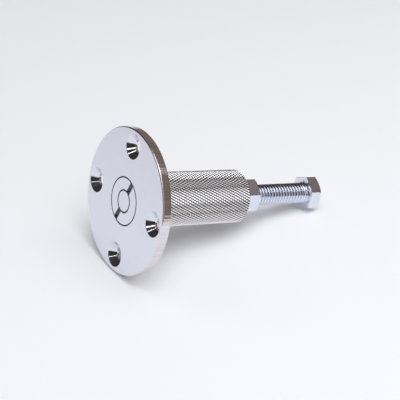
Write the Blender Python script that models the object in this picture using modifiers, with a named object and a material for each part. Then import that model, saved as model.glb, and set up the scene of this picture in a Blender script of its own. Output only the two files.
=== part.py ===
"""Floor door holder: a flanged floor socket with a spring-loaded plunger.

The plate lies on the floor and the knurled sleeve below it is set into the floor. A door's
drop bolt pushes the plunger down and stands in the guide bush; the spring lifts the plunger
flush again. The hex bolt at the bottom sets the spring and a nut locks it.
The origin is the centre of the plate's top face, and +Z points up out of the floor.
"""
import math

import bmesh
import bpy
import numpy as np
from mathutils import Vector

MM = 0.001
TURN = 2 * math.pi

# Clearance between any two pieces that touch or slide on each other
GAP = 0.3 * MM

# Plate
PLATE_D = 63.5 * MM
PLATE_T = 4.0 * MM
PLATE_EDGE = 0.45 * MM
SCREW_COUNT = 4
SCREW_INSET = 7.05 * MM
SCREW_HOLE_D = 5.8 * MM
SCREW_HEAD_D = 11.0 * MM
SCREW_CONE = math.radians(82)
SCREW_PHASE = math.radians(45)

# Sleeve and its knurl
SLEEVE_D = 23.75 * MM
SLEEVE_L = 54.2 * MM
SLEEVE_LET_IN = 0.5 * MM
SLEEVE_BORE_D = 16.5 * MM
SLEEVE_EDGE = 0.8 * MM
KNURL_STARTS = 45
KNURL_DEPTH = 0.45 * MM
KNURL_HELIX = math.radians(28)

# Guide bush, screwed into the sleeve through the plate
BUSH_THREAD_DEPTH = 0.75 * MM
BUSH_GRIP = 9.0 * MM
BUSH_LEDGE = 1.2 * MM
BUSH_HEAD_T = 2.2 * MM
BUSH_EDGE = 0.2 * MM
SLOT_W = 2.5 * MM
SLOT_DEPTH = 1.5 * MM
SLOT_ANGLE = math.radians(110)

# Plunger
PLUNGER_D = 9.4 * MM
PLUNGER_EDGE = 0.35 * MM
COLLAR_T = 3.5 * MM
PILOT_L = 4.0 * MM

# Return spring
SPRING_WIRE_D = 1.0 * MM
SPRING_SIDE_PLAY = 1.0 * MM
SPRING_TURNS = 8
SPRING_END_TURNS = 1
SPRING_END_PITCH = 1.6 * MM
SPRING_POINTS_PER_TURN = 10

# Spring seat on the tip of the bolt
SEAT_T = 3.2 * MM
SEAT_PILOT_L = 3.0 * MM
SEAT_CUP_DEPTH = 1.2 * MM

# End plug, pressed into the sleeve
PLUG_T = 5.7 * MM

# Adjusting bolt and lock nut
BOLT_D = 9.4 * MM
BOLT_REACH = 1.6 * MM
BOLT_TIP_EDGE = 1.1 * MM
THREAD_SHOWING = 28.6 * MM
HEX_AF = 14.3 * MM
HEX_CHAMFER = math.radians(30)
HEX_FACE_INSET = 0.35 * MM
HEX_PHASE = math.radians(7.4)
HEAD_H = 5.75 * MM
NUT_H = 8.3 * MM

# Facets round a full turn
WIDE_STEPS = 88
ROUND_STEPS = 48
HOLE_STEPS = 32

# Sizes that follow from the fits
SHANK_D = SLEEVE_BORE_D + 2 * BUSH_THREAD_DEPTH
HEAD_D = SHANK_D + 2 * BUSH_LEDGE
COLLAR_D = SLEEVE_BORE_D - 2 * GAP
SOCKET_D = SHANK_D + 2 * GAP
PLUG_D = SHANK_D
SPRING_MEAN_D = COLLAR_D - 2 * SPRING_SIDE_PLAY - SPRING_WIRE_D
PILOT_D = SPRING_MEAN_D - SPRING_WIRE_D - 2 * SPRING_SIDE_PLAY
SCREW_CIRCLE_D = PLATE_D - 2 * SCREW_INSET

# Heights, from the floor down
RECESS_ROOF = -PLATE_T + SLEEVE_LET_IN
SLEEVE_TOP = RECESS_ROOF - GAP
SLEEVE_END = SLEEVE_TOP - SLEEVE_L
BUSH_END = -PLATE_T - BUSH_GRIP
COLLAR_TOP = BUSH_END - GAP
COLLAR_END = COLLAR_TOP - COLLAR_T
PLUG_TOP = SLEEVE_END + PLUG_T
NUT_TOP = SLEEVE_END - GAP
BOLT_BEARING = NUT_TOP - NUT_H - THREAD_SHOWING
BOLT_TIP = PLUG_TOP + BOLT_REACH
BOLT_L = BOLT_TIP - BOLT_BEARING
SEAT_END = BOLT_TIP + GAP - SEAT_CUP_DEPTH
SEAT_TOP = SEAT_END + SEAT_T
SPRING_TOP = COLLAR_END - GAP
SPRING_END = SEAT_TOP + GAP


def clear_scene():
    """Remove what a new file holds."""
    for old in list(bpy.data.objects):
        bpy.data.objects.remove(old, do_unlink=True)


def new_collection(name):
    """Add a collection to the scene."""
    group = bpy.data.collections.new(name)
    bpy.context.scene.collection.children.link(group)
    return group


def metal(name, colour, roughness):
    """A bare or plated metal."""
    finish = bpy.data.materials.new(name)
    finish.use_nodes = True
    shader = finish.node_tree.nodes["Principled BSDF"]
    shader.inputs["Base Color"].default_value = (*colour, 1)
    shader.inputs["Metallic"].default_value = 1
    shader.inputs["Roughness"].default_value = roughness
    return finish


def place(name, mesh, group, height=0.0, turn=0.0):
    """Put a mesh into a collection as a named object, on the common axis."""
    piece = bpy.data.objects.new(name, mesh)
    piece.location = (0, 0, height)
    piece.rotation_euler = (0, 0, turn)
    group.objects.link(piece)
    return piece


def turned(name, profile, group, height=0.0, steps=ROUND_STEPS, closed=True):
    """Turn a profile of (radius, height) points, listed down its outer side, about the axis."""
    points = [(radius, 0, level) for radius, level in profile]
    edges = [(i, i + 1) for i in range(len(points) - 1)]
    if closed:
        edges.append((len(points) - 1, 0))
    mesh = bpy.data.meshes.new(name)
    mesh.from_pydata(points, edges, [])
    piece = place(name, mesh, group, height)
    screw = piece.modifiers.new("Turn", "SCREW")
    screw.steps = steps
    screw.render_steps = steps
    screw.use_merge_vertices = True
    screw.merge_threshold = 0.01 * MM
    return piece


def cut(piece, tool, operation="DIFFERENCE"):
    """Cut a piece by a tool, or join or crop it."""
    step = piece.modifiers.new(operation.title(), "BOOLEAN")
    step.operation = operation
    step.object = tool


def as_tool(tool):
    """Keep a cutter out of the render and show it as wire."""
    tool.hide_render = True
    tool.display_type = "WIRE"
    return tool


def give(piece, finish, parent):
    """Give a piece its material and hang it on the holder's axis."""
    piece.data.materials.append(finish)
    piece.parent = parent


def make_plate(group, tools):
    """Round plate, sunk on top for the bush's head and below for the sleeve, with countersunk holes."""
    rim = PLATE_D / 2
    shank_hole = SHANK_D / 2 + GAP
    head_hole = HEAD_D / 2 + GAP
    recess = SLEEVE_D / 2 + GAP
    ledge = -BUSH_HEAD_T - GAP
    plate = turned("flange_plate", [
        (rim - PLATE_EDGE, 0),
        (rim, -PLATE_EDGE),
        (rim, -PLATE_T),
        (recess, -PLATE_T),
        (recess, RECESS_ROOF),
        (shank_hole, RECESS_ROOF),
        (shank_hole, ledge),
        (head_hole, ledge),
        (head_hole, 0),
    ], group, steps=WIDE_STEPS)
    over = GAP
    bore = SCREW_HOLE_D / 2
    head = SCREW_HEAD_D / 2
    flare = math.tan(SCREW_CONE / 2)
    for i in range(SCREW_COUNT):
        angle = SCREW_PHASE + TURN * i / SCREW_COUNT
        tool = turned(f"screw_hole_{i + 1}", [
            (0, over),
            (head + over * flare, over),
            (bore, (bore - head) / flare),
            (bore, -PLATE_T - over),
            (0, -PLATE_T - over),
        ], tools, steps=HOLE_STEPS, closed=False)
        tool.location = SCREW_CIRCLE_D / 2 * Vector((math.cos(angle), math.sin(angle), 0))
        cut(plate, as_tool(tool))
    return plate


def knurled_bar_mesh():
    """Solid bar with a diamond knurl.

    Two sets of grooves cross at every second point of a grid wrapped round the bar. The points
    between are the diamonds' peaks, and each diamond is a pyramid of four faces.
    """
    columns = 2 * KNURL_STARTS
    half_pitch = math.pi * SLEEVE_D / columns / math.tan(KNURL_HELIX)
    land = SLEEVE_L - 2 * SLEEVE_EDGE
    rows = 2 * max(1, round(land / half_pitch / 2))
    column, row = np.meshgrid(np.arange(columns), np.arange(rows + 1))
    peak = (column + row) % 2 == 1
    radius = SLEEVE_D / 2 - np.where(peak, 0, KNURL_DEPTH)
    angle = TURN * column / columns
    level = -SLEEVE_EDGE - land * row / rows
    side = np.stack([radius * np.cos(angle), radius * np.sin(angle), level], axis=-1)

    end_radius = SLEEVE_D / 2 - SLEEVE_EDGE
    end = np.stack([end_radius * np.cos(angle[0]), end_radius * np.sin(angle[0])], axis=-1)
    top = np.column_stack([end, np.zeros(columns)])
    bottom = np.column_stack([end, np.full(columns, -SLEEVE_L)])
    points = np.concatenate([side.reshape(-1, 3), top, bottom])

    def at(i, j):
        return j * columns + i % columns

    faces = []
    for j in range(rows + 1):
        for i in range(columns):
            if not peak[j, i]:
                continue
            if j > 0:
                faces.append((at(i, j), at(i + 1, j), at(i, j - 1)))
                faces.append((at(i, j), at(i, j - 1), at(i - 1, j)))
            if j < rows:
                faces.append((at(i, j), at(i - 1, j), at(i, j + 1)))
                faces.append((at(i, j), at(i, j + 1), at(i + 1, j)))
    first = (rows + 1) * columns
    last = first + columns
    for i in range(columns):
        after = (i + 1) % columns
        faces.append((at(i, 0), at(after, 0), first + after, first + i))
        faces.append((last + i, last + after, at(after, rows), at(i, rows)))
    faces.append(tuple(first + i for i in range(columns)))
    faces.append(tuple(last + i for i in reversed(range(columns))))
    mesh = bpy.data.meshes.new("knurled_sleeve")
    mesh.from_pydata(points.tolist(), [], faces)
    return mesh


def make_sleeve(group, tools):
    """Knurled sleeve, bored through and opened at both ends for the bush and the plug."""
    sleeve = place("knurled_sleeve", knurled_bar_mesh(), group, SLEEVE_TOP)
    over = GAP
    bore = SLEEVE_BORE_D / 2
    socket = SOCKET_D / 2
    bush_floor = BUSH_END - GAP - SLEEVE_TOP
    plug_floor = PLUG_TOP + GAP - SLEEVE_TOP
    tool = turned("sleeve_bore", [
        (0, over),
        (socket, over),
        (socket, bush_floor),
        (bore, bush_floor),
        (bore, plug_floor),
        (socket, plug_floor),
        (socket, -SLEEVE_L - over),
        (0, -SLEEVE_L - over),
    ], tools, SLEEVE_TOP, closed=False)
    cut(sleeve, as_tool(tool))
    return sleeve


def make_bush(group, tools):
    """Flush bush with a driver slot across its head, which guides the plunger."""
    head = HEAD_D / 2
    shank = SHANK_D / 2
    bore = PLUNGER_D / 2 + GAP
    bush = turned("guide_bush", [
        (head - BUSH_EDGE, 0),
        (head, -BUSH_EDGE),
        (head, -BUSH_HEAD_T),
        (shank, -BUSH_HEAD_T),
        (shank, BUSH_END),
        (bore, BUSH_END),
        (bore, -BUSH_EDGE),
        (bore + BUSH_EDGE, 0),
    ], group, steps=WIDE_STEPS)
    mesh = bpy.data.meshes.new("driver_slot")
    block = bmesh.new()
    bmesh.ops.create_cube(block, size=1)
    bmesh.ops.scale(block, verts=block.verts, vec=(HEAD_D + 2 * GAP, SLOT_W, 2 * SLOT_DEPTH))
    block.to_mesh(mesh)
    block.free()
    cut(bush, as_tool(place("driver_slot", mesh, tools, turn=SLOT_ANGLE)))
    return bush


def make_plunger(group):
    """Pin with a stop collar and a pilot that centres the spring."""
    pin = PLUNGER_D / 2
    collar = COLLAR_D / 2
    pilot = PILOT_D / 2
    pilot_end = COLLAR_END - PILOT_L
    return turned("plunger", [
        (0, 0),
        (pin - PLUNGER_EDGE, 0),
        (pin, -PLUNGER_EDGE),
        (pin, COLLAR_TOP),
        (collar, COLLAR_TOP),
        (collar, COLLAR_END),
        (pilot, COLLAR_END),
        (pilot, pilot_end + PLUNGER_EDGE),
        (pilot - PLUNGER_EDGE, pilot_end),
        (0, pilot_end),
    ], group, closed=False)


def spring_points():
    """Helix with a closed turn at each end and an even open pitch between."""
    half_wire = SPRING_WIRE_D / 2
    top = SPRING_TOP - half_wire
    length = SPRING_TOP - SPRING_END - SPRING_WIRE_D
    turns = np.linspace(0, SPRING_TURNS, SPRING_TURNS * SPRING_POINTS_PER_TURN + 1)
    closed_drop = SPRING_END_TURNS * SPRING_END_PITCH
    drop = np.interp(
        turns,
        [0, SPRING_END_TURNS, SPRING_TURNS - SPRING_END_TURNS, SPRING_TURNS],
        [0, closed_drop, length - closed_drop, length],
    )
    reach = SPRING_MEAN_D / 2
    return np.stack([
        reach * np.cos(TURN * turns),
        reach * np.sin(TURN * turns),
        top - drop,
    ], axis=-1)


def least_self_gap(points):
    """Least clear distance between stretches of the wire half a turn or more apart."""
    fine = np.linspace(0, len(points) - 1, 8 * len(points))
    marks = np.arange(len(points))
    wire = np.stack([np.interp(fine, marks, points[:, k]) for k in range(3)], axis=-1)
    apart = np.linalg.norm(wire[:, None] - wire[None, :], axis=2)
    along = np.abs(fine[:, None] - fine[None, :])
    return apart[along >= SPRING_POINTS_PER_TURN / 2].min() - SPRING_WIRE_D


def make_spring(group):
    """Compression spring as one round wire."""
    points = spring_points()
    print(f"return_spring least gap to itself: {least_self_gap(points) / MM:.2f} mm")
    wire = bpy.data.curves.new("return_spring", "CURVE")
    wire.dimensions = "3D"
    wire.bevel_depth = SPRING_WIRE_D / 2
    wire.bevel_resolution = 1
    wire.use_fill_caps = True
    line = wire.splines.new("POLY")
    line.points.add(len(points) - 1)
    line.points.foreach_set("co", np.column_stack([points, np.ones(len(points))]).ravel())
    return place("return_spring", wire, group)


def make_seat(group):
    """Stepped disc that carries the spring, with a cup for the bolt's tip."""
    disc = COLLAR_D / 2
    pilot = PILOT_D / 2
    cup = BOLT_D / 2 + GAP
    pilot_top = SEAT_TOP + SEAT_PILOT_L
    return turned("spring_seat", [
        (0, pilot_top),
        (pilot - PLUNGER_EDGE, pilot_top),
        (pilot, pilot_top - PLUNGER_EDGE),
        (pilot, SEAT_TOP),
        (disc, SEAT_TOP),
        (disc, SEAT_END),
        (cup, SEAT_END),
        (cup, SEAT_END + SEAT_CUP_DEPTH),
        (0, SEAT_END + SEAT_CUP_DEPTH),
    ], group, closed=False)


def make_plug(group):
    """Disc that closes the sleeve, with the bolt's hole."""
    outer = PLUG_D / 2
    hole = BOLT_D / 2 + GAP
    return turned("end_plug", [
        (outer, PLUG_TOP),
        (outer, SLEEVE_END),
        (hole, SLEEVE_END),
        (hole, PLUG_TOP),
    ], group)


def hexagon(name, height, top, group, tools, both_ends):
    """Hexagon with its corners turned off at the bottom end, or at both ends."""
    corner = HEX_AF / 2 / math.cos(math.pi / 6)
    mesh = bpy.data.meshes.new(name)
    prism = bmesh.new()
    bmesh.ops.create_cone(
        prism, cap_ends=True, segments=6, radius1=corner, radius2=corner, depth=height)
    bmesh.ops.translate(prism, verts=prism.verts, vec=(0, 0, -height / 2))
    prism.to_mesh(mesh)
    prism.free()
    block = place(name, mesh, group, top, HEX_PHASE)
    over = GAP
    face = HEX_AF / 2 - HEX_FACE_INSET
    wide = corner + over
    fall = (wide - face) * math.tan(HEX_CHAMFER)
    profile = [(0, 0), (face, 0), (wide, -fall)] if both_ends else [(0, over), (wide, over)]
    profile += [(wide, fall - height), (face, -height), (0, -height)]
    crop = turned(f"{name}_chamfer", profile, tools, top, closed=False)
    cut(block, as_tool(crop), "INTERSECT")
    return block


def make_bolt(group, tools):
    """Hex bolt; its thread is left as a plain shank of the thread's outer size."""
    shank = BOLT_D / 2
    bolt = turned("adjusting_bolt", [
        (0, BOLT_L),
        (shank - BOLT_TIP_EDGE, BOLT_L),
        (shank, BOLT_L - BOLT_TIP_EDGE),
        (shank, -HEAD_H / 2),
        (0, -HEAD_H / 2),
    ], group, BOLT_BEARING, closed=False)
    head = hexagon("bolt_head", HEAD_H, BOLT_BEARING, tools, tools, both_ends=False)
    cut(bolt, as_tool(head), "UNION")
    return bolt


def make_nut(group, tools):
    """Hex nut, chamfered on both faces."""
    nut = hexagon("lock_nut", NUT_H, NUT_TOP, group, tools, both_ends=True)
    over = GAP
    hole = BOLT_D / 2 + GAP
    tool = turned("nut_bore", [
        (0, over),
        (hole, over),
        (hole, -NUT_H - over),
        (0, -NUT_H - over),
    ], tools, NUT_TOP, closed=False)
    cut(nut, as_tool(tool))
    return nut


def main():
    """Build the holder."""
    clear_scene()
    group = new_collection("floor_door_holder")
    tools = new_collection("cutters")
    axis = bpy.data.objects.new("holder_axis", None)
    group.objects.link(axis)
    polished = metal("polished_chrome", (0.80, 0.80, 0.83), 0.12)
    knurled = metal("knurled_steel", (0.62, 0.61, 0.62), 0.30)
    zinc = metal("bright_zinc", (0.70, 0.71, 0.75), 0.25)
    steel = metal("spring_steel", (0.45, 0.45, 0.47), 0.35)
    give(make_plate(group, tools), polished, axis)
    give(make_bush(group, tools), polished, axis)
    give(make_plunger(group), polished, axis)
    give(make_sleeve(group, tools), knurled, axis)
    give(make_plug(group), zinc, axis)
    give(make_spring(group), steel, axis)
    give(make_seat(group), zinc, axis)
    give(make_bolt(group, tools), zinc, axis)
    give(make_nut(group, tools), zinc, axis)


main()
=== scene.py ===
"""Looks of the floor door holder: its pieces as fine surfaces, their finishes, the table and the light."""
import math

import bpy
import numpy as np
from mathutils import Matrix, Vector


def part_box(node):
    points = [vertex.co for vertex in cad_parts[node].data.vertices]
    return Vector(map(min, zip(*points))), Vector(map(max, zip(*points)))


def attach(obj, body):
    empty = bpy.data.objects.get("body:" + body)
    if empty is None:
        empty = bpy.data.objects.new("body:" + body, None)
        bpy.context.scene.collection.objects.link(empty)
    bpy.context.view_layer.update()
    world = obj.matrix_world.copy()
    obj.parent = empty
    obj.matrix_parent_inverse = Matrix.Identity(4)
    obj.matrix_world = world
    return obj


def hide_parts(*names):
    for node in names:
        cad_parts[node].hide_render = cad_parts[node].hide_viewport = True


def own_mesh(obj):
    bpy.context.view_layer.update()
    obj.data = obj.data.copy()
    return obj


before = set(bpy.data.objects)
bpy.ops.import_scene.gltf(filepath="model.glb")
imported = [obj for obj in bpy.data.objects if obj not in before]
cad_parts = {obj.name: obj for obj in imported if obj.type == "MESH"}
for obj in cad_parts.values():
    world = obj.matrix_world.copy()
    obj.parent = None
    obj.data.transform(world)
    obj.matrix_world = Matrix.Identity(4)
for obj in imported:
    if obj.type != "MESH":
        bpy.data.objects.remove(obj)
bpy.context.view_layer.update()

MM = 0.001
TURN = 2 * math.pi

# Running gap between two pieces, and how near two points count as one
GAP = 0.3 * MM
SAME_POINT = 1e-7

# Rounded corners of a profile, in eases and rows: rows in a bend, how far past it the flats are held,
# reach of the rows on each side of the corner, and rows in all
EASE_STEPS = 6
EASE_HOLD = 0.6
EASE_REACH = 1 + EASE_HOLD
CORNER_ROWS = EASE_STEPS + 2

# Steps round a turned piece, and the angle in degrees past which an edge stays sharp
TURNED_STEPS = 96
CREASE = 40

# Plate, with steps for each quarter of it
PLATE_EDGE = 0.5 * MM
PLATE_FOOT_EDGE = 0.2 * MM
SCREW_COUNT = 4
SCREW_REACH = 24.7 * MM
SCREW_HOLE_R = 2.9 * MM
SCREW_HEAD_R = 5.5 * MM
SCREW_CONE = math.radians(82)
SCREW_EDGE = 0.12 * MM
SCREW_LAND = 1.0 * MM
RIM_STEPS = 28
BORE_STEPS = 24
SIDE_STEPS = 12

# How steeply the rim's tool marks set in over its edge, and the depth below a face over which painted
# shade sets in on a gap's walls
RIM_FADE = 4
PAINTED_SHADE_DEPTH = 0.025 * MM

# Barrel and its diamond knurl
BARREL_BORE_R = 8.25 * MM
BARREL_EDGE = 0.8 * MM
KNURL_STARTS = 60
KNURL_PITCH = 2.37 * MM
KNURL_DEEP = 0.40 * MM
KNURL_SHALLOW = 0.30 * MM
KNURL_FLANK = 0.93
KNURL_STEPS = 8
KNURL_CREASE = 20

# Slotted bush, with the share of painted shade on its slot's floor
BUSH_HEAD_T = 2.2 * MM
BUSH_EDGE = 0.25 * MM
SLOT_W = 2.5 * MM
SLOT_DEPTH = 1.5 * MM
SLOT_ANGLE = math.radians(110)
SLOT_PAINTED_SHADE = 0.75
SLOT_STEPS = 6
ISLAND_STEPS = 66

# Plunger pin, spring seat and spring, with steps for each turn of the spring and round its wire
PIN_R = 4.7 * MM
PILOT_R = 4.95 * MM
PIN_EDGE = 0.35 * MM
SPRING_WIRE_R = 0.5 * MM
SPRING_TURNS = 8
SPRING_END_TURNS = 1
SPRING_END_PITCH = 1.6 * MM
SPRING_SPLIT = 24.8 * MM
SPRING_STEPS = 48
WIRE_STEPS = 12
PRESS_TRAVEL = 14 * MM
SEAT_TRAVEL = 3.968 * MM

# Bolt and nut
BOLT_R = 4.7 * MM
BOLT_TIP_EDGE = 1.1 * MM
BOLT_FILLET = 0.2 * MM
THREAD_PITCH = 1.5875 * MM
THREAD_DEPTH = 0.7 * MM
THREAD_ROUND = 1.6
THREAD_STEPS = 16
RUNOUT_START = 1.2 * MM
RUNOUT_END = 2.8 * MM
NUT_PLAY = 0.15 * MM
NUT_LEAD = 0.75 * MM
HEX_SIDES = 6
HEX_AF = 14.3 * MM
HEX_CORNER_R = 8.19 * MM
HEX_CHAMFER = math.radians(30)
HEX_FACE_INSET = 0.35 * MM
HEX_EDGE = 0.12 * MM
HEX_EDGE_HOLD = 0.36 * MM
HEX_PHASE = math.radians(7.4)
HEX_STEPS = 16
HEAD_H = 5.75 * MM

# Photo's camera with its lens in millimetres, the table that the holder lies on, and the lamps' reach
CAMERA_AT = Vector((-172.4, -444.7, 275.9)) * MM
CAMERA_AIM = Vector((-1.0, 0.4, -38.7)) * MM
CAMERA_LENS = 117
TABLE_UP = Vector((0.6414, -0.7269, 0.2453))
TABLE_DROP = 31.76 * MM
TABLE_HALF = 1.5
TABLE_RIGHT = 0.21
TABLE_GLOW = 0.07
LAMP_REACH = 1.1


def extent(node):
    """Outer radius, top and bottom of a node of the frame."""
    low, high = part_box(node)
    return high.x, high.z, low.z


PLATE_R, PLATE_TOP, PLATE_FOOT = extent("flange_plate")
BARREL_R, BARREL_TOP, BARREL_END = extent("knurled_sleeve")
BUSH_R, BUSH_TOP, BUSH_END = extent("guide_bush")
COLLAR_R, PIN_TOP, PIN_END = extent("plunger")
SPRING_R, SPRING_TOP, SPRING_END = extent("return_spring")
SEAT_R, SEAT_TOP, SEAT_END = extent("spring_seat")
PLUG_R, PLUG_TOP, PLUG_END = extent("end_plug")
BOLT_TIP, BOLT_END = extent("adjusting_bolt")[1:]
NUT_TOP, NUT_END = extent("lock_nut")[1:]
BEARING = BOLT_END + HEAD_H
SHANK_R = PLUG_R
SPRING_DROP = SPRING_TOP - SPRING_END - 2 * SPRING_WIRE_R


# Surfaces

def patch(points, slant=None, **marks):
    """A grid of points, which of its cells are split the other way, and named marks for the finish."""
    return points, slant, marks


def full_turn(steps):
    """Angles of a whole turn in even steps, with the first one again at its end."""
    return TURN * np.arange(steps + 1) / steps


def turned(profile, angles):
    """Carry a profile of (radius, height) rows round the axis: x = r cos a, y = r sin a, z = height."""
    radius, height = np.moveaxis(np.asarray(profile, float), -1, 0)
    radius, height = radius.reshape(len(radius), -1), height.reshape(len(height), -1)
    across = np.cos(angles) * radius
    along = np.sin(angles) * radius
    return np.stack([across, along, np.broadcast_to(height, across.shape)], axis=-1)


def eased(corners, closed=False):
    """Round a profile's corners, each given as (radius, height, ease).

    A corner P becomes the parabola (1-s)^2 A + 2 s (1-s) P + s^2 C, where A and C lie one ease before
    and after P. A point a little further out on each side keeps the flats beside it flat.
    """
    corner = np.array([entry[:2] for entry in corners])
    ease = np.array([entry[2] if len(entry) > 2 else 0.0 for entry in corners])[:, None]

    def heading(step):
        """Each step over its own length, or as it is where that is nought."""
        length = np.linalg.norm(step, axis=1, keepdims=True)
        return step / np.where(length > 0, length, 1)

    before = heading(corner - np.roll(corner, 1, axis=0)) * ease
    after = heading(np.roll(corner, -1, axis=0) - corner) * ease
    share = np.linspace(0, 1, EASE_STEPS)[None, :, None]
    start, end = (corner - before)[:, None], (corner + after)[:, None]
    bend = (1 - share) ** 2 * start + 2 * share * (1 - share) * corner[:, None] + share ** 2 * end
    first, last = start - EASE_HOLD * before[:, None], end + EASE_HOLD * after[:, None]
    rows = np.concatenate([first, bend, last], axis=1).reshape(-1, 2)
    return np.concatenate([rows, rows[:1]]) if closed else rows


def below(profile, top):
    """Mark for the rows of a profile that lie below a top face, on the walls of a gap, where shade is
    painted.
    """
    return np.clip((top - profile[:, 1:]) / PAINTED_SHADE_DEPTH, 0, 1)


def triangles(points, slant):
    """Two triangles for each cell of a grid, split along one diagonal or the other."""
    index = np.arange(points.shape[0] * points.shape[1]).reshape(points.shape[:2])
    a, b, c, d = index[:-1, :-1], index[:-1, 1:], index[1:, 1:], index[1:, :-1]
    plain = np.stack([a, b, c, a, c, d], axis=-1)
    other = np.stack([a, b, d, b, c, d], axis=-1)
    return (plain if slant is None else np.where(slant[..., None], other, plain)).reshape(-1, 3)


def make_piece(name, patches, finish, crease):
    """Join patches into one closed mesh.

    Points that lie together become one, empty triangles go, faces point outwards, and each named mark
    becomes an attribute of the points.
    """
    sizes = [points.shape[0] * points.shape[1] for points, _, _ in patches]
    starts = np.cumsum([0] + sizes[:-1])
    points = np.concatenate([grid.reshape(-1, 3) for grid, _, _ in patches])
    faces = np.concatenate([triangles(p, s) + start for (p, s, _), start in zip(patches, starts)])
    _, first, merged = np.unique(
        np.round(points / SAME_POINT).astype(np.int64), axis=0, return_index=True, return_inverse=True)
    points, faces = points[first], merged.reshape(-1)[faces]
    whole = (faces != np.roll(faces, 1, axis=1)).all(axis=1)
    faces = faces[whole]
    corner = points[faces]
    volume = np.einsum("ij,ij->", corner[:, 0], np.cross(corner[:, 1], corner[:, 2]))
    if volume < 0:
        faces = faces[:, ::-1]
    mesh = bpy.data.meshes.new(name)
    mesh.from_pydata(points, [], faces)
    for mark in sorted({mark for _, _, marks in patches for mark in marks}):
        value = np.concatenate([
            np.broadcast_to(marks.get(mark, 0), grid.shape[:2]).ravel() for grid, _, marks in patches])
        layer = mesh.attributes.new(mark, "FLOAT", "POINT")
        layer.data.foreach_set("value", value[first].astype(np.float32))
    mesh.shade_smooth()
    mesh.set_sharp_from_angle(angle=math.radians(crease))
    mesh.materials.append(finish)
    piece = bpy.data.objects.new(name, mesh)
    bpy.context.scene.collection.objects.link(piece)
    return piece


def plate_patches():
    """Plate with countersunk holes.

    Each quarter is a grid of rays from a screw hole's centre to the quarter's outline, and its rows run
    in along the underside, up the hole and its cone, and out along the top. Two turned bands, the rim
    and the stepped bore, close it.
    """
    sector = TURN / SCREW_COUNT
    half = sector / 2
    top_rim = PLATE_R - EASE_REACH * PLATE_EDGE
    foot_rim = PLATE_R - EASE_REACH * PLATE_FOOT_EDGE
    top_bore = BUSH_R + GAP + EASE_REACH * BUSH_EDGE
    recess = BARREL_R + GAP

    def outline(rim, bore):
        """A quarter's outline: along the rim's arc, in, back along the bore's arc, and out again."""
        arc = np.linspace(-half, half, RIM_STEPS + 1)
        back = np.linspace(half, -half, BORE_STEPS + 1)
        run = np.linspace(0, 1, SIDE_STEPS + 1)
        radius = np.concatenate([
            np.full(arc.size, rim), rim + (bore - rim) * run[1:],
            np.full(back.size - 1, bore), bore + (rim - bore) * run[1:],
        ])
        angle = np.concatenate([
            arc, np.full(run.size - 1, half), back[1:], np.full(run.size - 1, -half),
        ])
        return np.stack([radius * np.cos(angle), radius * np.sin(angle)], axis=-1)

    centre = np.array([SCREW_REACH, 0])
    upper, lower = outline(top_rim, top_bore), outline(foot_rim, recess)
    ray = upper - centre
    ray /= np.linalg.norm(ray, axis=1, keepdims=True)
    cone_foot = PLATE_TOP - (SCREW_HEAD_R - SCREW_HOLE_R) / math.tan(SCREW_CONE / 2)
    land = SCREW_HEAD_R + SCREW_LAND
    hole = eased([
        (land, PLATE_FOOT),
        (SCREW_HOLE_R, PLATE_FOOT, SCREW_EDGE),
        (SCREW_HOLE_R, cone_foot, SCREW_EDGE / 2),
        (SCREW_HEAD_R, PLATE_TOP, SCREW_EDGE),
        (land, PLATE_TOP),
    ])[CORNER_ROWS:-CORNER_ROWS]
    flat = np.concatenate([lower[None], centre + hole[:, :1, None] * ray, upper[None]])
    height = np.concatenate([[PLATE_FOOT], hole[:, 1], [PLATE_TOP]])
    height = np.broadcast_to(height[:, None, None], (*flat.shape[:2], 1))
    x, y = flat[..., :1], flat[..., 1:]
    quarters = []
    for turn in half + sector * np.arange(SCREW_COUNT):
        place = [math.cos(turn) * x - math.sin(turn) * y, math.sin(turn) * x + math.cos(turn) * y, height]
        quarters.append(patch(np.concatenate(place, axis=-1)))

    rim = eased([
        (top_rim, PLATE_TOP),
        (PLATE_R, PLATE_TOP, PLATE_EDGE),
        (PLATE_R, PLATE_FOOT, PLATE_FOOT_EDGE),
        (foot_rim, PLATE_FOOT),
    ])
    shank_hole, head_hole = SHANK_R + GAP, BUSH_R + GAP
    ledge, roof = -BUSH_HEAD_T - GAP, BARREL_TOP + GAP
    bore = eased([
        (recess, PLATE_FOOT),
        (recess, roof),
        (shank_hole, roof),
        (shank_hole, ledge),
        (head_hole, ledge),
        (head_hole, PLATE_TOP, BUSH_EDGE),
        (top_bore, PLATE_TOP),
    ])
    turning = np.clip((rim[:, :1] - top_rim) / (PLATE_R - top_rim), 0, 1) ** RIM_FADE
    return [
        *quarters,
        patch(turned(rim, full_turn(RIM_STEPS * SCREW_COUNT)), streak=turning),
        patch(turned(bore, full_turn(BORE_STEPS * SCREW_COUNT)), groove=below(bore, PLATE_TOP)),
    ]


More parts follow.
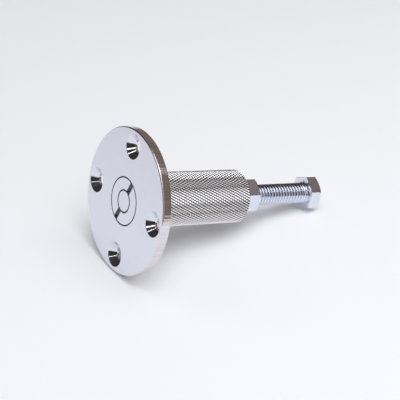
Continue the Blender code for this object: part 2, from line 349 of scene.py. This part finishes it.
def barrel_patches():
    """Bored barrel with a diamond knurl.

    Over a grid of angle and height, the radius is the outer radius less the deeper of two crossing sets
    of helical grooves, one set a little deeper than the other. A groove's depth falls evenly from its
    middle to the diamond's flat top. A 45 degree cone limits the radius at each end. Grid steps line up
    with the grooves, and cells are split along the groove that they belong to.
    """
    columns = KNURL_STARTS * KNURL_STEPS
    length = BARREL_TOP - BARREL_END
    rows = round(length / (KNURL_PITCH / KNURL_STEPS))
    column, row = np.meshgrid(np.arange(columns + 1), np.arange(rows + 1))

    def off_groove(count):
        """Way of a grid line from its nearest groove: 0 in the groove, 1 midway to the next one."""
        part = count % KNURL_STEPS
        return np.minimum(part, KNURL_STEPS - part) / (KNURL_STEPS / 2)

    deep = KNURL_DEEP * np.clip(1 - off_groove(column + row) / KNURL_FLANK, 0, 1)
    shallow = KNURL_SHALLOW * np.clip(1 - off_groove(column - row) / KNURL_FLANK, 0, 1)
    sunk = np.maximum(deep, shallow)
    slant = off_groove(column + row + 1) < off_groove(column - row)
    drop = length * row / rows
    from_end = np.minimum(drop, length - drop)
    radius = np.minimum(BARREL_R - sunk, BARREL_R - BARREL_EDGE + from_end)
    angle = TURN * column / columns
    side = np.stack([radius * np.cos(angle), radius * np.sin(angle), BARREL_TOP - drop], axis=-1)
    socket = SHANK_R + GAP
    rim = BARREL_R - BARREL_EDGE
    bore = [
        (rim, BARREL_END),
        (socket, BARREL_END),
        (socket, PLUG_TOP + GAP),
        (BARREL_BORE_R, PLUG_TOP + GAP),
        (BARREL_BORE_R, BUSH_END - GAP),
        (socket, BUSH_END - GAP),
        (socket, BARREL_TOP),
        (rim, BARREL_TOP),
    ]
    return [patch(side, slant[:-1, :-1], groove=sunk / KNURL_DEEP), patch(turned(bore, angle[0]))]


def bush_patches():
    """Flush bush with a slot across its head.

    Columns run round the bush, first across one mouth of the slot, then along an island, and again. At
    radius r a mouth spans asin(half slot / r) to each side of the slot's line, and its columns lie at
    the slot's floor, so the slot's walls stand between two columns of the same angle.
    """
    bore = PIN_R + GAP
    floor = BUSH_TOP - SLOT_DEPTH
    upper = eased([
        (bore, floor),
        (bore, BUSH_TOP, BUSH_EDGE),
        (BUSH_R, BUSH_TOP, BUSH_EDGE),
        (BUSH_R, floor),
    ])
    lower = eased([
        (BUSH_R, floor),
        (BUSH_R, -BUSH_HEAD_T, BUSH_EDGE),
        (SHANK_R, -BUSH_HEAD_T),
        (SHANK_R, BUSH_END, BUSH_EDGE),
        (bore, BUSH_END, BUSH_EDGE),
        (bore, floor),
    ])
    across = np.linspace(-1, 1, SLOT_STEPS + 1)
    along = np.linspace(0, 1, ISLAND_STEPS + 1)
    in_slot = np.tile(np.repeat([True, False], [across.size, along.size]), 2)

    def angles(radius):
        """Angles of the columns at each radius: a mouth and an island, then both half a turn on."""
        mouth = np.arcsin(SLOT_W / 2 / radius)[:, None]
        half_turn = np.concatenate([mouth * across, mouth + (math.pi - 2 * mouth) * along], axis=1)
        return SLOT_ANGLE + np.concatenate([half_turn, math.pi + half_turn], axis=1)

    def round_again(grid):
        """The grid with its first column again at its end, which closes it."""
        return np.concatenate([grid, grid[:, :1]], axis=1)

    def band(profile, sunk):
        """A profile carried round, with the slot's mouths at the slot's floor where it is sunk."""
        turn = angles(profile[:, 0])
        height = np.repeat(profile[:, 1:], turn.shape[1], axis=1)
        height = np.where(in_slot & sunk, floor, height)
        radius = profile[:, :1]
        grid = np.stack([radius * np.cos(turn), radius * np.sin(turn), height], axis=-1)
        # Painted shade: the slot's floor and the walls of the gaps beside the bush are marked to be
        # painted dark
        painted_shade = np.where(in_slot & sunk, SLOT_PAINTED_SHADE, below(profile, BUSH_TOP))
        return patch(round_again(grid), groove=round_again(painted_shade))

    return [band(upper, True), band(lower, False)]


def pin_patches():
    """Plunger pin with its stop collar and spring pilot, turned."""
    collar_top, collar_end = BUSH_END - GAP, SPRING_TOP + GAP
    profile = eased([
        (0, PIN_TOP),
        (PIN_R, PIN_TOP, PIN_EDGE),
        (PIN_R, collar_top),
        (COLLAR_R, collar_top, BUSH_EDGE),
        (COLLAR_R, collar_end, BUSH_EDGE),
        (PILOT_R, collar_end),
        (PILOT_R, PIN_END, PIN_EDGE),
        (0, PIN_END),
    ])
    return [patch(turned(profile, full_turn(TURNED_STEPS)), groove=below(profile, PIN_TOP))]


def seat_patches():
    """Spring seat, turned, with a cup for the bolt's tip."""
    ledge = SPRING_END - GAP
    cup_r, cup_roof = BOLT_R + GAP, BOLT_TIP + GAP
    profile = eased([
        (0, SEAT_TOP),
        (PILOT_R, SEAT_TOP, PIN_EDGE),
        (PILOT_R, ledge),
        (SEAT_R, ledge, BUSH_EDGE),
        (SEAT_R, SEAT_END, BUSH_EDGE),
        (cup_r, SEAT_END, BUSH_EDGE),
        (cup_r, cup_roof),
        (0, cup_roof),
    ])
    return [patch(turned(profile, full_turn(TURNED_STEPS)))]


def plug_patches():
    """End disc with the bolt's hole, turned."""
    hole = BOLT_R + GAP
    profile = eased([
        (PLUG_R, PLUG_TOP, BUSH_EDGE),
        (PLUG_R, PLUG_END, BUSH_EDGE),
        (hole, PLUG_END, BUSH_EDGE),
        (hole, PLUG_TOP, BUSH_EDGE),
    ], closed=True)
    return [patch(turned(profile, full_turn(TURNED_STEPS)))]


def hex_turn():
    """Angles round a hexagon, close together at its corners, and the hexagon's radius at each.

    From the middle of a side the angle is 30 degrees times the sine of an even step, and the radius is
    half the width across flats over the angle's cosine, cut off at the corners.
    """
    half_side = math.pi / HEX_SIDES
    step = np.linspace(-1, 1, HEX_STEPS + 1)[:-1]
    swing = half_side * np.sin(step * math.pi / 2)
    middle = HEX_PHASE + half_side + 2 * half_side * np.arange(HEX_SIDES)[:, None]
    angle = (middle + swing).ravel()
    radius = np.minimum(HEX_AF / 2 / np.cos(np.tile(swing, HEX_SIDES)), HEX_CORNER_R)
    return np.append(angle, angle[0] + TURN), np.append(radius, radius[0])


HEX_ANGLE, HEX_SIDE = hex_turn()


def ring(radius, height):
    """One row round a hexagon piece, of (radius, height), each a single value or one for every angle."""
    return np.stack(np.broadcast_arrays(radius, height, HEX_SIDE)[:2], axis=-1)[None]


def hex_end(end, towards):
    """Rows of a chamfered hexagon end: a circle on the end face, then the cone's cut down the sides."""
    face = HEX_AF / 2 - HEX_FACE_INSET
    cut = (HEX_SIDE - face) * math.tan(HEX_CHAMFER)
    return np.concatenate([ring(face, end), ring(HEX_SIDE, end + towards * cut)])


def nut_patches():
    """Hexagon nut, chamfered at both ends: rows run up its bore and down its outside."""
    hole = BOLT_R + NUT_PLAY
    mouth = hole + NUT_LEAD
    rows = np.concatenate([
        ring(hole, NUT_END + NUT_LEAD),
        ring(hole, NUT_TOP - NUT_LEAD),
        ring(mouth, NUT_TOP),
        hex_end(NUT_TOP, -1),
        hex_end(NUT_END, 1)[::-1],
        ring(mouth, NUT_END),
        ring(hole, NUT_END + NUT_LEAD),
    ])
    return [patch(turned(rows, HEX_ANGLE))]


def bolt_patches():
    """Hexagon bolt with its thread.

    Rows of the shank climb one pitch in a turn, so each follows the thread: its depth grows as a power
    of the way from crest to root, fades out towards the head, and a cone cuts it at the tip. Heights
    past the shank's ends are drawn back to them. The head is a hexagon cut by a cone.
    """
    phase = np.arange(THREAD_STEPS) / THREAD_STEPS
    turns = math.ceil((BOLT_TIP - BEARING) / THREAD_PITCH)
    climb = (np.arange(-1, turns + 1)[:, None] + phase).ravel()[::-1, None]
    height = BEARING + THREAD_PITCH * (climb + (HEX_ANGLE - HEX_ANGLE[0]) / TURN)
    height = np.clip(height, BEARING, BOLT_TIP)
    off_crest = 1 - np.abs(1 - 2 * (climb % 1))
    rise = np.clip((height - BEARING - RUNOUT_START) / (RUNOUT_END - RUNOUT_START), 0, 1)
    groove = off_crest ** THREAD_ROUND * rise
    tip_cone = BOLT_R - BOLT_TIP_EDGE + (BOLT_TIP - height)
    above = np.clip(BOLT_FILLET - (height - BEARING), 0, None)
    flare = BOLT_FILLET - np.sqrt(BOLT_FILLET ** 2 - above ** 2)
    radius = np.minimum(BOLT_R - THREAD_DEPTH * groove, tip_cone) + flare
    shank = np.stack([radius * np.cos(HEX_ANGLE), radius * np.sin(HEX_ANGLE), height], axis=-1)
    tip = turned([(0, BOLT_TIP), (BOLT_R - BOLT_TIP_EDGE, BOLT_TIP)], HEX_ANGLE)
    head = np.concatenate([
        ring(BOLT_R + BOLT_FILLET, BEARING),
        ring(HEX_SIDE - HEX_EDGE_HOLD, BEARING),
        ring(HEX_SIDE - HEX_EDGE, BEARING),
        ring(HEX_SIDE, BEARING - HEX_EDGE),
        ring(HEX_SIDE, BEARING - HEX_EDGE_HOLD),
        hex_end(BOLT_END, 1)[::-1],
        ring(0, BOLT_END),
    ])
    return [patch(tip), patch(shank, groove=groove), patch(turned(head, HEX_ANGLE))]


def spring_patches(first, last):
    """Wire of the return spring between two depths of its drop.

    The centre line is a helix that drops by a small pitch in its end turns and evenly between them. A
    circle square to it, with one axis radial, is carried along it, and a point closes each end.
    """
    turns = np.linspace(0, SPRING_TURNS, SPRING_TURNS * SPRING_STEPS + 1)
    close = SPRING_END_TURNS * SPRING_END_PITCH
    drop = np.interp(
        turns,
        [0, SPRING_END_TURNS, SPRING_TURNS - SPRING_END_TURNS, SPRING_TURNS],
        [0, close, SPRING_DROP - close, SPRING_DROP],
    )
    drops = np.concatenate([[first], drop[(drop > first) & (drop < last)], [last]])
    angle = TURN * np.interp(drops, drop, turns)
    out = np.stack([np.cos(angle), np.sin(angle), np.zeros_like(angle)], axis=-1)
    centre = (SPRING_R - SPRING_WIRE_R) * out
    centre[:, 2] = SPRING_TOP - SPRING_WIRE_R - drops
    run = np.gradient(centre, axis=0)
    run /= np.linalg.norm(run, axis=1, keepdims=True)
    up = np.cross(run, out)
    swing = full_turn(WIRE_STEPS)[:, None]
    tube = SPRING_WIRE_R * (out[:, None] * np.cos(swing) + up[:, None] * np.sin(swing))
    tube = np.concatenate([0 * tube[:1], tube, 0 * tube[-1:]])
    spine = np.concatenate([centre[:1], centre, centre[-1:]])
    return [patch(spine[:, None] + tube)]


# Finishes

def linear(code):
    """An sRGB hex colour as linear red, green, blue and alpha."""
    parts = np.array([int(code[i:i + 2], 16) for i in (1, 3, 5)]) / 255
    parts = np.where(parts <= 0.04045, parts / 12.92, ((parts + 0.055) / 1.055) ** 2.4)
    return (*parts.tolist(), 1.0)


def join(tree, node, sources):
    """Link outputs to a node's sockets by name or number."""
    for socket, source in sources.items():
        tree.links.new(source, node.inputs[socket])


def add(tree, kind, settings=None, links=None):
    """Add a shader node: settings go to its sockets or properties, links join outputs to its sockets."""
    made = tree.nodes.new(kind)
    for name, value in (settings or {}).items():
        if isinstance(name, int) or name in made.inputs:
            made.inputs[name].default_value = value
        else:
            setattr(made, name, value)
    join(tree, made, links or {})
    return made


def new_finish(name, settings):
    """A material with a Principled shader and the piece's own Object coordinates."""
    finish = bpy.data.materials.new(name)
    finish.use_nodes = True
    tree = finish.node_tree
    shader = tree.nodes["Principled BSDF"]
    for socket, value in settings.items():
        shader.inputs[socket].default_value = value
    where = add(tree, "ShaderNodeTexCoord").outputs["Object"]
    return finish, tree, shader, where


def grain(size):
    """Noise scale for a grain of this size in metres."""
    return 1 / size


def polished_chrome():
    """Chrome plate over turned and buffed steel.

    The eye gets a near mirror with a soft haze and fine buffing marks. The walls of the gaps and the
    milled slot's floor are painted dark and dull, which is painted shade, and the turned rim keeps faint
    brown tool marks across it. Buffing and tool marks are coarser than real ones so that they show.
    """
    haze_size = 6 * MM
    buffing_mark = 0.5 * MM
    tool_mark = 1.1 * MM
    # Tool marks run along the axis, so their noise is drawn out that way
    drawn_out = (1.0, 1.0, 0.05)
    finish, tree, shader, where = new_finish("polished_chrome_plate", {})
    # Painted shade: where this mark is set, the colour turns dark and the metal dull
    painted_shade = add(tree, "ShaderNodeAttribute", {"attribute_name": "groove"}).outputs["Fac"]
    rim = add(tree, "ShaderNodeAttribute", {"attribute_name": "streak"}).outputs["Fac"]
    haze = add(tree, "ShaderNodeTexNoise", {"Scale": grain(haze_size), "Detail": 3.0}, {"Vector": where})
    marks = add(tree, "ShaderNodeTexNoise", {"Scale": grain(buffing_mark), "Detail": 2.0}, {
        "Vector": where})
    across = add(tree, "ShaderNodeMapping", {"Scale": drawn_out}, {"Vector": where})
    tool = add(tree, "ShaderNodeTexNoise", {"Scale": grain(tool_mark), "Detail": 3.0}, {
        "Vector": across.outputs[0]})
    bands = add(tree, "ShaderNodeMapRange", {"From Min": 0.35, "From Max": 0.65}, {
        "Value": tool.outputs["Fac"]})
    turning = add(tree, "ShaderNodeMath", {"operation": "MULTIPLY"}, {0: bands.outputs[0], 1: rim})
    buffed = add(tree, "ShaderNodeMix", {
        "data_type": "RGBA", 6: linear("#DEDFEA"), 7: linear("#E6E7F0"),
    }, {0: haze.outputs["Fac"]})
    tinted = add(tree, "ShaderNodeMix", {"data_type": "RGBA", 7: linear("#DACEC7")}, {
        0: turning.outputs[0], 6: buffed.outputs[2]})
    # Painted shade: the dark colour laid on the gaps' walls and the slot's floor
    tone = add(tree, "ShaderNodeMix", {"data_type": "RGBA", 7: linear("#4A474E")}, {
        0: painted_shade, 6: tinted.outputs[2]})
    metal = add(tree, "ShaderNodeMath", {"operation": "SUBTRACT", 0: 1.0}, {1: painted_shade})
    gloss = add(tree, "ShaderNodeMapRange", {"To Min": 0.08, "To Max": 0.15}, {
        "Value": haze.outputs["Fac"]})
    rough = add(tree, "ShaderNodeMix", {"data_type": "FLOAT", 3: 0.45}, {0: painted_shade, 2: gloss.outputs[0]})
    fine = add(tree, "ShaderNodeBump", {"Strength": 0.05, "Distance": 0.02 * MM}, {
        "Height": marks.outputs["Fac"]})
    bump = add(tree, "ShaderNodeBump", {"Strength": 0.6, "Distance": 0.05 * MM}, {
        "Height": turning.outputs[0], "Normal": fine.outputs[0]})
    join(tree, shader, {
        "Base Color": tone.outputs[2], "Metallic": metal.outputs[0],
        "Roughness": rough.outputs[0], "Normal": bump.outputs[0]})
    return finish


def knurled_steel():
    """Bright plated steel, rolled into diamonds.

    The eye gets glinting flats with slight wear over grooves painted near black, which is painted shade
    in them. The plating's grit is coarser than real grit so that it shows.
    """
    wear_size = 1.5 * MM
    grit_size = 0.3 * MM
    finish, tree, shader, where = new_finish("rolled_knurled_steel", {"Metallic": 1.0})
    groove = add(tree, "ShaderNodeAttribute", {"attribute_name": "groove"})
    wear = add(tree, "ShaderNodeTexNoise", {"Scale": grain(wear_size), "Detail": 4.0}, {"Vector": where})
    grit = add(tree, "ShaderNodeTexNoise", {"Scale": grain(grit_size), "Detail": 2.0}, {"Vector": where})
    # Painted shade: towards the middle of each groove the colour is painted near black
    painted_groove_shade = add(tree, "ShaderNodeMapRange", {"From Min": 0.5, "From Max": 0.8}, {
        "Value": groove.outputs["Fac"]})
    flats = add(tree, "ShaderNodeMix", {
        "data_type": "RGBA", 6: linear("#F6F4F7"), 7: linear("#FFFEFF"),
    }, {0: wear.outputs["Fac"]})
    tone = add(tree, "ShaderNodeMix", {"data_type": "RGBA", 7: linear("#141113")}, {
        0: painted_groove_shade.outputs[0], 6: flats.outputs[2]})
    rough = add(tree, "ShaderNodeMapRange", {"To Min": 0.12, "To Max": 0.20}, {
        "Value": wear.outputs["Fac"]})
    bump = add(tree, "ShaderNodeBump", {"Strength": 0.1, "Distance": 0.02 * MM}, {
        "Height": grit.outputs["Fac"]})
    join(tree, shader, {
        "Base Color": tone.outputs[2], "Roughness": rough.outputs[0], "Normal": bump.outputs[0]})
    return finish


def bright_zinc():
    """Zinc plate with a clear blue passivation.

    The eye gets a cool, softly cloudy gloss, with painted shade darkening the thread's root. The
    plating's grit is coarser than real grit so that it shows.
    """
    cloud_size = 3 * MM
    grit_size = 0.4 * MM
    finish, tree, shader, where = new_finish("blue_passivated_zinc_plate", {"Metallic": 1.0})
    groove = add(tree, "ShaderNodeAttribute", {"attribute_name": "groove"})
    cloud = add(tree, "ShaderNodeTexNoise", {"Scale": grain(cloud_size), "Detail": 4.0}, {"Vector": where})
    grit = add(tree, "ShaderNodeTexNoise", {"Scale": grain(grit_size), "Detail": 2.0}, {"Vector": where})
    plating = add(tree, "ShaderNodeMix", {
        "data_type": "RGBA", 6: linear("#DCE1F0"), 7: linear("#EAEDF6"),
    }, {0: cloud.outputs["Fac"]})
    # Painted shade: the thread's root is painted a darker blue grey
    tone = add(tree, "ShaderNodeMix", {"data_type": "RGBA", 7: linear("#B9C0D6")}, {
        0: groove.outputs["Fac"], 6: plating.outputs[2]})
    rough = add(tree, "ShaderNodeMapRange", {"To Min": 0.14, "To Max": 0.28}, {
        "Value": cloud.outputs["Fac"]})
    bump = add(tree, "ShaderNodeBump", {"Strength": 0.1, "Distance": 0.02 * MM}, {
        "Height": grit.outputs["Fac"]})
    join(tree, shader, {
        "Base Color": tone.outputs[2], "Roughness": rough.outputs[0], "Normal": bump.outputs[0]})
    return finish


def spring_wire():
    """Oil tempered spring wire: dark and dull, with uneven marks of the drawing die, coarser than real."""
    die_mark = 0.8 * MM
    finish, tree, shader, where = new_finish("drawn_spring_wire", {"Metallic": 1.0})
    marks = add(tree, "ShaderNodeTexNoise", {"Scale": grain(die_mark), "Detail": 3.0}, {"Vector": where})
    tone = add(tree, "ShaderNodeMix", {
        "data_type": "RGBA", 6: linear("#8A8A8E"), 7: linear("#A9A9AD"),
    }, {0: marks.outputs["Fac"]})
    rough = add(tree, "ShaderNodeMapRange", {"To Min": 0.3, "To Max": 0.45}, {
        "Value": marks.outputs["Fac"]})
    bump = add(tree, "ShaderNodeBump", {"Strength": 0.2, "Distance": 0.02 * MM}, {
        "Height": marks.outputs["Fac"]})
    join(tree, shader, {
        "Base Color": tone.outputs[2], "Roughness": rough.outputs[0], "Normal": bump.outputs[0]})
    return finish


# Table, light and camera

def table_axes():
    """The photo's right, its direction away along the table, and the table's up."""
    forward = (CAMERA_AIM - CAMERA_AT).normalized()
    up = TABLE_UP.normalized()
    right = forward.cross(up).normalized()
    return right, up.cross(right), up


RIGHT, AWAY, UP = table_axes()


def add_table():
    """White table under the holder, seen only from its upper side.

    It glows a little to the camera and in what mirrors it, so it is pale with no more light on the holder.
    It ends not far to the right, so the metal shows the wall past it there.
    """
    finish, tree, shader, _ = new_finish("matt_white_table", {
        "Base Color": linear("#F3F3F4"), "Roughness": 0.9, "Specular IOR Level": 0.0,
        "Emission Color": linear("#EDF1FA")})
    path = add(tree, "ShaderNodeLightPath").outputs
    mirrored = add(tree, "ShaderNodeMath", {"operation": "MAXIMUM"}, {
        0: path["Is Glossy Ray"], 1: path["Is Transmission Ray"]})
    seen = add(tree, "ShaderNodeMath", {"operation": "MAXIMUM"}, {
        0: path["Is Camera Ray"], 1: mirrored.outputs[0]})
    glow = add(tree, "ShaderNodeMath", {"operation": "MULTIPLY", 1: TABLE_GLOW}, {0: seen.outputs[0]})
    behind = add(tree, "ShaderNodeNewGeometry").outputs["Backfacing"]
    clear = add(tree, "ShaderNodeBsdfTransparent")
    mixed = add(tree, "ShaderNodeMixShader", links={
        0: behind, 1: shader.outputs[0], 2: clear.outputs[0]})
    join(tree, shader, {"Emission Strength": glow.outputs[0]})
    join(tree, tree.nodes["Material Output"], {"Surface": mixed.outputs[0]})
    mesh = bpy.data.meshes.new("table")
    far = TABLE_HALF
    corner = [(-far, -far), (TABLE_RIGHT, -far), (TABLE_RIGHT, far), (-far, far)]
    mesh.from_pydata([-TABLE_DROP * UP + x * RIGHT + y * AWAY for x, y in corner], [], [(0, 1, 2, 3)])
    mesh.materials.append(finish)
    table = bpy.data.objects.new("table", mesh)
    bpy.context.scene.collection.objects.link(table)


def add_lamp(name, bearing, height, width, tall, level, mirrored=True, reach=LAMP_REACH):
    """Soft box of a size in metres and a brightness where 1 is white, turned to the holder.

    Its bearing in degrees runs from the photo's far side round by its right, and its height is the
    angle over the table. One that isn't mirrored doesn't show in the metal.
    """
    lamp = bpy.data.lights.new(name, "AREA")
    lamp.shape = "RECTANGLE"
    lamp.size, lamp.size_y = width, tall
    lamp.energy = level * math.pi * width * tall
    lamp.color = linear("#F6FAFF")[:3]
    swing, rise = math.radians(bearing), math.radians(height)
    heading = math.sin(swing) * RIGHT + math.cos(swing) * AWAY
    out = math.cos(rise) * heading + math.sin(rise) * UP
    across = UP.cross(out).normalized()
    turn = Matrix((across, out.cross(across), out)).transposed()
    holder = bpy.data.objects.new(name, lamp)
    holder.matrix_world = Matrix.Translation(CAMERA_AIM + reach * out) @ turn.to_4x4()
    holder.visible_glossy = mirrored
    bpy.context.scene.collection.objects.link(holder)


def add_world():
    """Dim studio walls that the metal shows: lighter to the photo's right, darkest beyond the bolt.

    To the camera the world is plain and pale, and only views from behind the table see it.
    """
    world = bpy.data.worlds.new("studio")
    bpy.context.scene.world = world
    world.use_nodes = True
    tree = world.node_tree
    where = add(tree, "ShaderNodeTexCoord").outputs["Generated"]
    beyond = add(tree, "ShaderNodeVectorMath", {"operation": "DOT_PRODUCT", 1: (0, 0, -1)}, {0: where})
    flag = add(tree, "ShaderNodeMapRange", {"From Min": 0.62, "From Max": 0.72}, {
        "Value": beyond.outputs["Value"]})
    side = add(tree, "ShaderNodeVectorMath", {"operation": "DOT_PRODUCT", 1: RIGHT}, {0: where})
    to_right = add(tree, "ShaderNodeMapRange", {"From Min": -0.25, "From Max": 0.0}, {
        "Value": side.outputs["Value"]})
    walls = add(tree, "ShaderNodeMix", {
        "data_type": "RGBA", 6: linear("#3A3634"), 7: linear("#7E7169"),
    }, {0: to_right.outputs[0]})
    studio = add(tree, "ShaderNodeMix", {"data_type": "RGBA", 7: linear("#2A2624")}, {
        0: flag.outputs[0], 6: walls.outputs[2]})
    seen = add(tree, "ShaderNodeLightPath").outputs["Is Camera Ray"]
    colour = add(tree, "ShaderNodeMix", {"data_type": "RGBA", 7: linear("#F3F4F8")}, {
        0: seen, 6: studio.outputs[2]})
    join(tree, tree.nodes["Background"], {"Color": colour.outputs[2]})


def add_camera():
    """Camera of the photo, level over the table."""
    data = bpy.data.cameras.new("photo_camera")
    data.lens = CAMERA_LENS
    camera = bpy.data.objects.new("photo_camera", data)
    forward = (CAMERA_AIM - CAMERA_AT).normalized()
    turn = Matrix((RIGHT, RIGHT.cross(forward), -forward)).transposed()
    camera.matrix_world = Matrix.Translation(CAMERA_AT) @ turn.to_4x4()
    bpy.context.scene.collection.objects.link(camera)
    bpy.context.scene.camera = camera


# Assembly

CHROME, KNURLED, ZINC, WIRE = polished_chrome(), knurled_steel(), bright_zinc(), spring_wire()
PIECES = [
    ("floor_plate", plate_patches(), CHROME, "housing", "flange_plate", "polished_chrome"),
    ("slotted_bush", bush_patches(), CHROME, "housing", "guide_bush", "polished_chrome"),
    ("plunger_pin", pin_patches(), CHROME, "plunger", "plunger", "polished_chrome"),
    ("knurled_barrel", barrel_patches(), KNURLED, "housing", "knurled_sleeve", "knurled_steel"),
    ("end_disc", plug_patches(), ZINC, "housing", "end_plug", "bright_zinc"),
    ("seat_disc", seat_patches(), ZINC, "spring_seat", "spring_seat", "bright_zinc"),
    ("threaded_bolt", bolt_patches(), ZINC, "adjusting_bolt", "adjusting_bolt", "bright_zinc"),
    ("hex_nut", nut_patches(), ZINC, "lock_nut", "lock_nut", "bright_zinc"),
    ("spring_upper", spring_patches(0, SPRING_SPLIT), WIRE, "housing", "return_spring", "spring_steel"),
    ("spring_lower", spring_patches(SPRING_SPLIT, SPRING_DROP), WIRE, "spring_seat", "return_spring",
     "spring_steel"),
]
# Each half of the spring is listed with a joint, the height where the two halves meet, its length and a
# travel; nothing here shortens it, and each half only gets a mesh of its own
MEETING = SPRING_TOP - SPRING_WIRE_R - SPRING_SPLIT
SQUASHED = {
    "spring_upper": ("plunger_press", MEETING, SPRING_TOP - MEETING, PRESS_TRAVEL),
    "spring_lower": ("bolt_travel", SPRING_END, MEETING - SPRING_END, SEAT_TRAVEL),
}
for name, patches, finish, body, node, slot in PIECES:
    piece = make_piece(name, patches, finish, KNURL_CREASE if finish is KNURLED else CREASE)
    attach(piece, body)
    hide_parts(node)
    if name in SQUASHED:
        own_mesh(piece)

add_table()
add_lamp("overhead_softbox", bearing=115, height=70, width=1.0, tall=0.95, level=1.9)
add_lamp("front_softbox", bearing=148, height=28, width=0.75, tall=1.2, level=0.65)
add_lamp("right_card", bearing=82, height=7, width=0.4, tall=0.32, level=0.9)
add_lamp("left_lamp", bearing=-153, height=43, width=0.12, tall=0.12, level=4.5)
add_lamp("high_lamp", bearing=-108, height=63.5, width=0.06, tall=0.06, level=7.0)
# These two stand twice as far off and light the table without showing in the metal
add_lamp("front_fill", bearing=165, height=60, width=1.6, tall=1.6, level=3.15,
         mirrored=False, reach=2 * LAMP_REACH)
add_lamp("left_fill", bearing=-70, height=50, width=1.2, tall=1.2, level=1.0,
         mirrored=False, reach=2 * LAMP_REACH)
add_world()
add_camera()
bpy.context.scene.view_settings.view_transform = "Standard"
